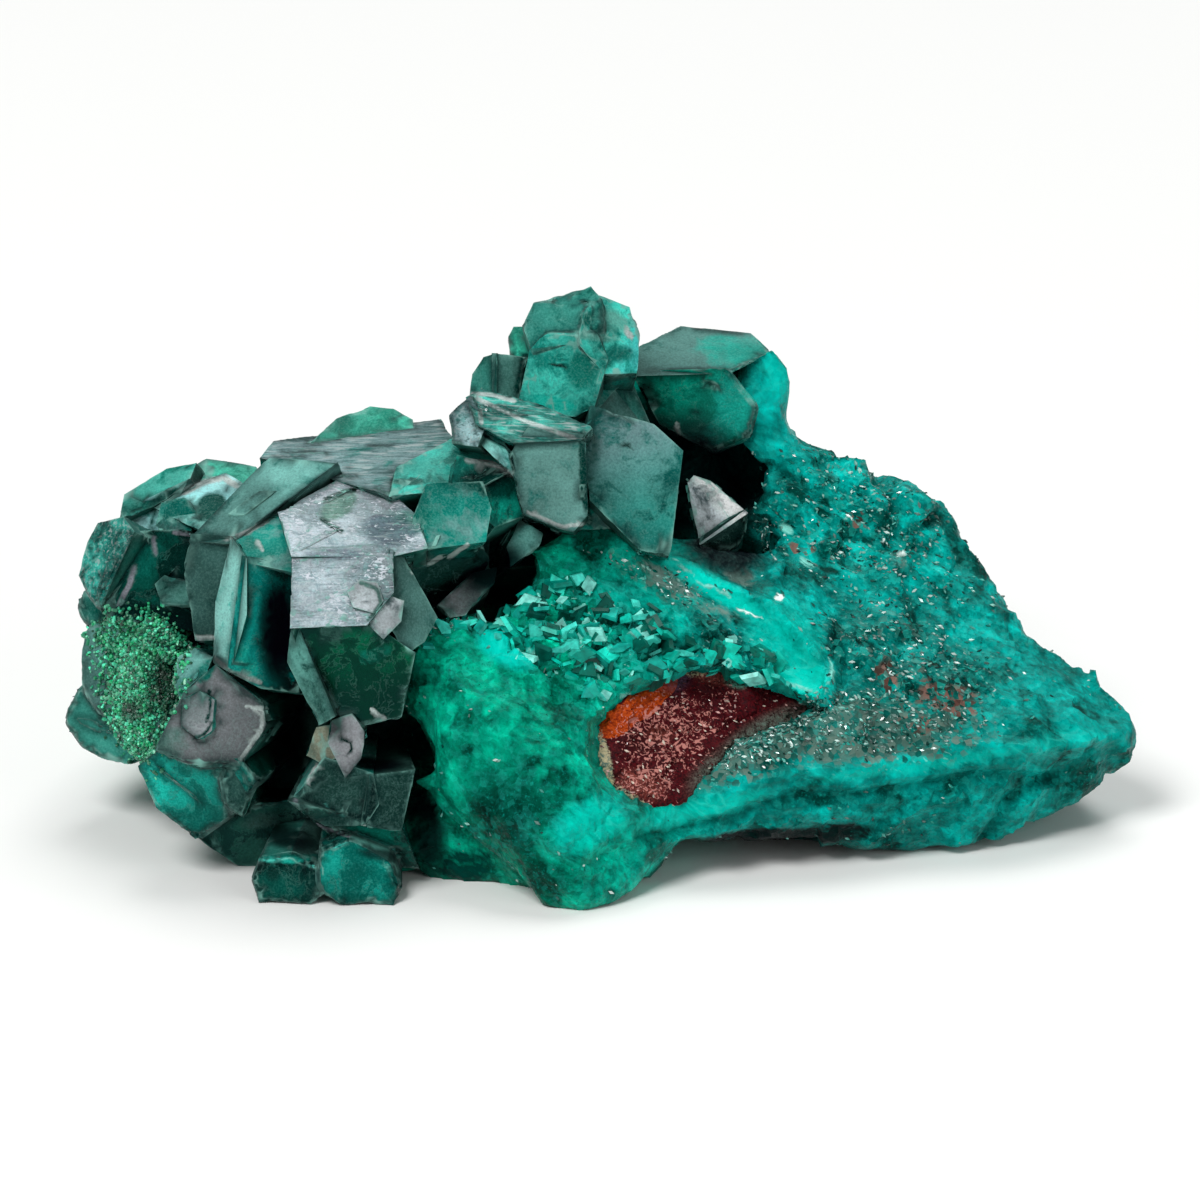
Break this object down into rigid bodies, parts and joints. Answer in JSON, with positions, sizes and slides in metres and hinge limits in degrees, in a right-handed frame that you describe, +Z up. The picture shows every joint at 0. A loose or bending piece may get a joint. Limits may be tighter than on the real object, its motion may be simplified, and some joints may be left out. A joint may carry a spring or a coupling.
{
  "type": "dioptase mineral specimen",
  "caption": "Hand specimen of dioptase: stout dark green crystals grown on a wedge of granular green dioptase, with a patch of red iron oxide; lies on its own feet.",
  "frame": {"origin": "middle of the specimen's bounding box, on the surface that it rests on", "axes": "+X along its greatest length, to the right of one who faces the crystals; -Y towards the viewer; +Z up"},
  "size_m": [0.0434, 0.027, 0.022],
  "materials": {
    "dark_dioptase_crystal": "vitreous, translucent, dark emerald green with grey veils",
    "veiled_dioptase_crystal": "vitreous, translucent, green with a grey bloom",
    "grey_dioptase_crystal": "vitreous, grey green",
    "red_iron_oxide": "earthy to waxy, maroon with an orange band and cream specks",
    "granular_dioptase": "granular, glistening, translucent turquoise green"
  },
  "bodies": {
    "root": {"crystal_cluster": "dark_dioptase_crystal", "shoulder_crystal": "veiled_dioptase_crystal", "cavity_crystal": "grey_dioptase_crystal", "iron_oxide_crust": "red_iron_oxide", "dioptase_mass": "granular_dioptase"}
  },
  "joints": []
}
